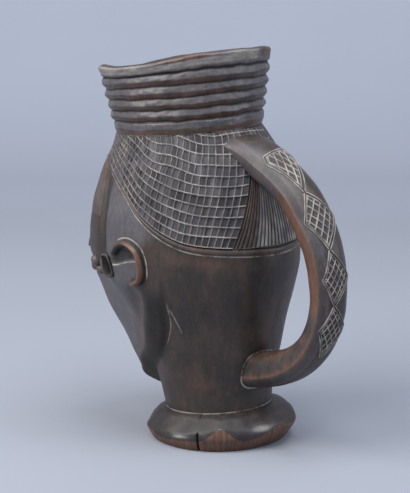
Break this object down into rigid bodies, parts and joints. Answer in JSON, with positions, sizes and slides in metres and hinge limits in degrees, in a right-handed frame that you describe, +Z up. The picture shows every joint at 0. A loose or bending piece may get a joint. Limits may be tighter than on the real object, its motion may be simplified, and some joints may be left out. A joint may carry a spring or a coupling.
{
  "type": "palm wine cup",
  "caption": "Carved wooden palm wine cup shaped as a head: hollow, with a ribbed flaring collar as its mouth, a low faceted foot and a strap handle down the back.",
  "frame": {"origin": "middle of the foot's flat underside, on the surface that the cup stands on", "axes": "+Z up, -Y the way the face looks, +Y to the handle, +X to the head's own left"},
  "size_m": [0.1098, 0.1592, 0.2025],
  "materials": {
    "foot_wood": "hand-cut facets with a waxy dark patina",
    "head_wood": "smooth rubbed dark patina, soft sheen",
    "collar_wood": "rounded ribs rubbed brown, grey film in the hollows",
    "hair_wood": "cross-hatched, pale dust on the ridges, dark cells",
    "band_wood": "smooth raised line, rubbed brown",
    "handle_wood": "smooth, grey-brown bevels, worn orange-brown edges",
    "lozenge_wood": "hatched lozenges with pale dust in the cuts",
    "ear_wood": "worn orange-brown edge",
    "temple_wood": "small rounded bosses, rubbed"
  },
  "bodies": {
    "root": {"foot": "foot_wood", "head_cup": "head_wood", "collar": "collar_wood", "coiffure": "hair_wood", "frontal_hair": "hair_wood", "nape_fan": "hair_wood", "hairline_band": "band_wood", "handle": "handle_wood", "handle_lozenge_band": "lozenge_wood", "ear_left": "ear_wood", "ear_right": "ear_wood", "brow_left": "head_wood", "brow_right": "head_wood", "eye_left": "head_wood", "eye_right": "head_wood", "nose": "head_wood", "mouth": "head_wood", "temple_ring_left": "temple_wood", "temple_ring_right": "temple_wood", "temple_bead_upper_left": "temple_wood", "temple_bead_upper_right": "temple_wood", "temple_bead_lower_left": "temple_wood", "temple_bead_lower_right": "temple_wood"}
  },
  "joints": []
}
